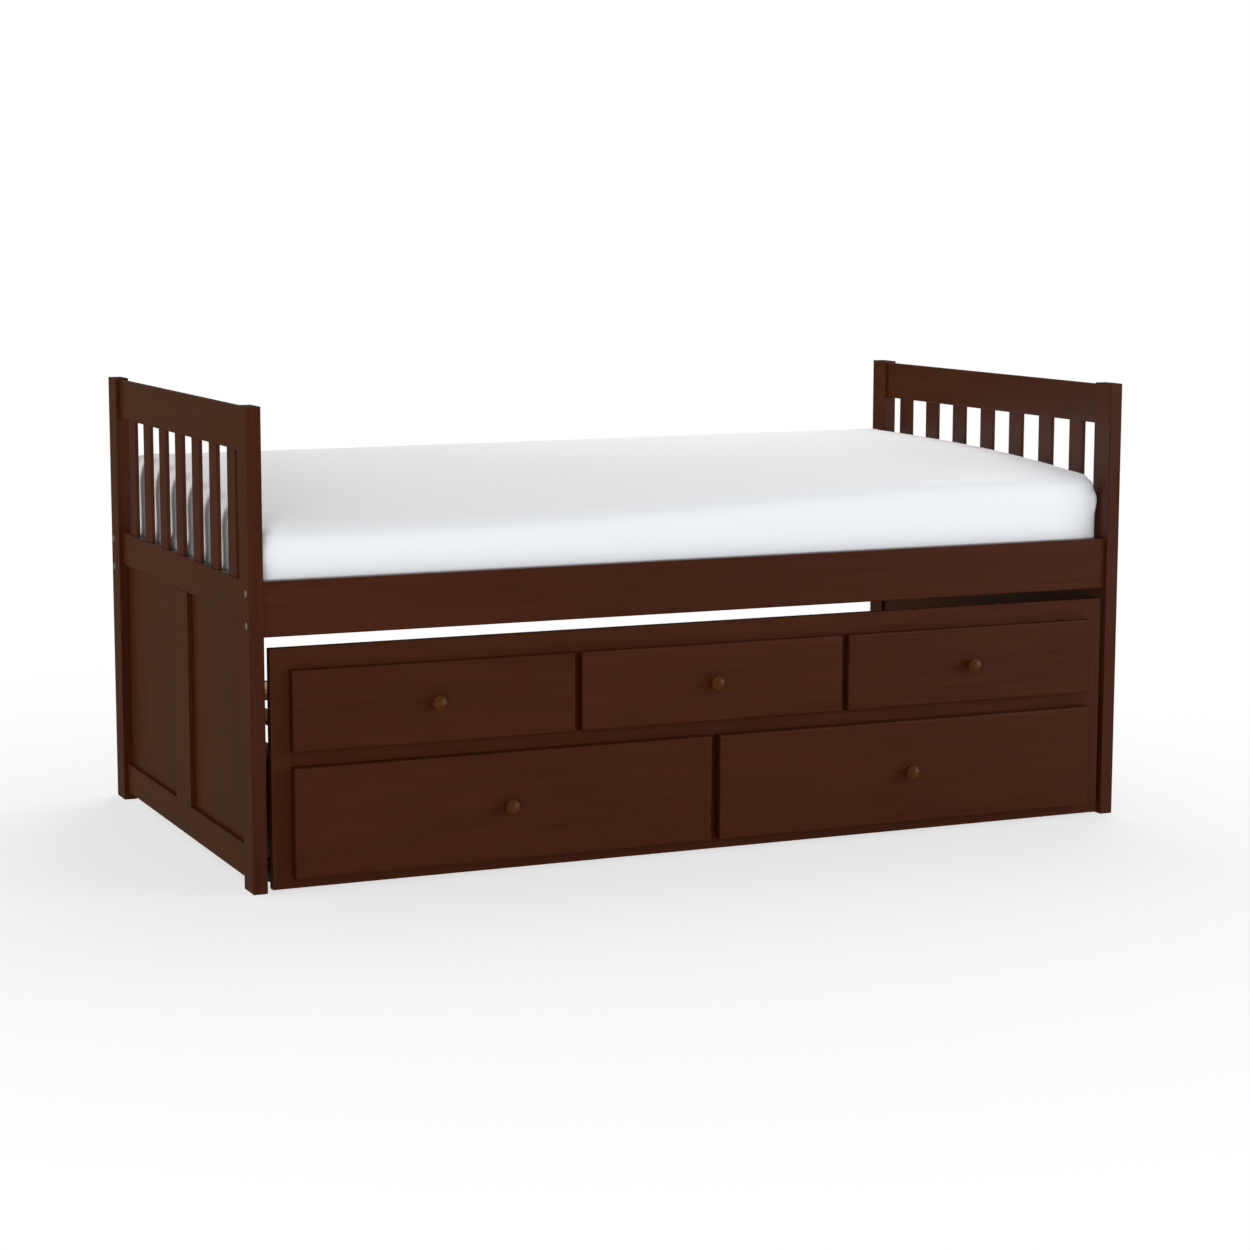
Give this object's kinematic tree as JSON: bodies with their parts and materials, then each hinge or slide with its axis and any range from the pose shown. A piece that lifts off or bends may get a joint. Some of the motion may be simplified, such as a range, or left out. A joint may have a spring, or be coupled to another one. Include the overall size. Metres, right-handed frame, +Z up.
{
  "type": "trundle bed",
  "caption": "Twin bed with slatted ends, dark stained wood and a white mattress, over a roll-out trundle with false fronts above storage drawers.",
  "frame": {"origin": "on the floor, below the middle of the whole bed with its knobs", "axes": "+X along the bed to the right as seen from the front, +Y from the front to the rear, +Z up"},
  "size_m": [1.9912, 1.132, 0.96],
  "materials": {
    "stained_wood": "satin",
    "knob_wood": "satin",
    "plain_pine": "matte",
    "drawer_plywood": "satin",
    "mattress_cover": "matte",
    "zinc_steel": "satin",
    "slide_steel": "satin",
    "wheel_plastic": "matte",
    "bumper_rubber": "matte"
  },
  "bodies": {
    "bed": {"bed_slat_screws": "zinc_steel", "bed_slats": "plain_pine", "front_ledger": "plain_pine", "front_side_rail": "stained_wood", "left_bottom_rail": "stained_wood", "left_centre_stile": "stained_wood", "left_end_panels": "stained_wood", "left_end_slats": "stained_wood", "left_front_post": "stained_wood", "left_mid_rail": "stained_wood", "left_rear_post": "stained_wood", "left_top_rail": "stained_wood", "mattress": "mattress_cover", "rear_ledger": "plain_pine", "rear_side_rail": "stained_wood", "right_bottom_rail": "stained_wood", "right_centre_stile": "stained_wood", "right_end_panels": "stained_wood", "right_end_slats": "stained_wood", "right_front_post": "stained_wood", "right_mid_rail": "stained_wood", "right_rear_post": "stained_wood", "right_top_rail": "stained_wood", "side_rail_barrel_nuts": "zinc_steel", "side_rail_bolts": "zinc_steel"},
    "trundle": {"drawer_bumpers": "bumper_rubber", "face_bottom_rail": "stained_wood", "face_left_stile": "stained_wood", "face_muntin": "stained_wood", "face_right_stile": "stained_wood", "face_upper_panel": "stained_wood", "false_front_1": "stained_wood", "false_front_2": "stained_wood", "false_front_3": "stained_wood", "false_front_knobs": "knob_wood", "slide_channels": "slide_steel", "trundle_cleats": "plain_pine", "trundle_dividers": "stained_wood", "trundle_left_side": "stained_wood", "trundle_rear_bottom_rail": "stained_wood", "trundle_rear_rail": "stained_wood", "trundle_right_side": "stained_wood", "trundle_slat_screws": "zinc_steel", "trundle_slats": "plain_pine", "wheel_axles": "zinc_steel"},
    "front_wheels": {"front_wheels": "wheel_plastic"},
    "rear_wheels": {"rear_wheels": "wheel_plastic"},
    "left_drawer": {"left_drawer_back": "drawer_plywood", "left_drawer_bottom": "drawer_plywood", "left_drawer_front": "stained_wood", "left_drawer_knob": "knob_wood", "left_drawer_runners": "slide_steel", "left_drawer_sides": "drawer_plywood"},
    "right_drawer": {"right_drawer_back": "drawer_plywood", "right_drawer_bottom": "drawer_plywood", "right_drawer_front": "stained_wood", "right_drawer_knob": "knob_wood", "right_drawer_runners": "slide_steel", "right_drawer_sides": "drawer_plywood"}
  },
  "joints": [
    {"name": "trundle_roll", "type": "slide", "parent": "bed", "child": "trundle", "axis": [0, -1, 0], "range_m": [0, 1]},
    {"name": "left_drawer_slide", "type": "slide", "parent": "trundle", "child": "left_drawer", "axis": [0, -1, 0], "range_m": [0, 0.33]},
    {"name": "right_drawer_slide", "type": "slide", "parent": "trundle", "child": "right_drawer", "axis": [0, -1, 0], "range_m": [0, 0.33]},
    {"name": "front_wheels_turn", "type": "hinge", "parent": "trundle", "child": "front_wheels", "pos_m": [0, -0.411, 0.025], "axis": [1, 0, 0], "continuous": true},
    {"name": "rear_wheels_turn", "type": "hinge", "parent": "trundle", "child": "rear_wheels", "pos_m": [0, 0.459, 0.025], "axis": [1, 0, 0], "continuous": true}
  ],
  "couplings": [
    {"joint": "front_wheels_turn", "follows": "trundle_roll", "rad_per_m": 40},
    {"joint": "rear_wheels_turn", "follows": "trundle_roll", "rad_per_m": 40}
  ]
}
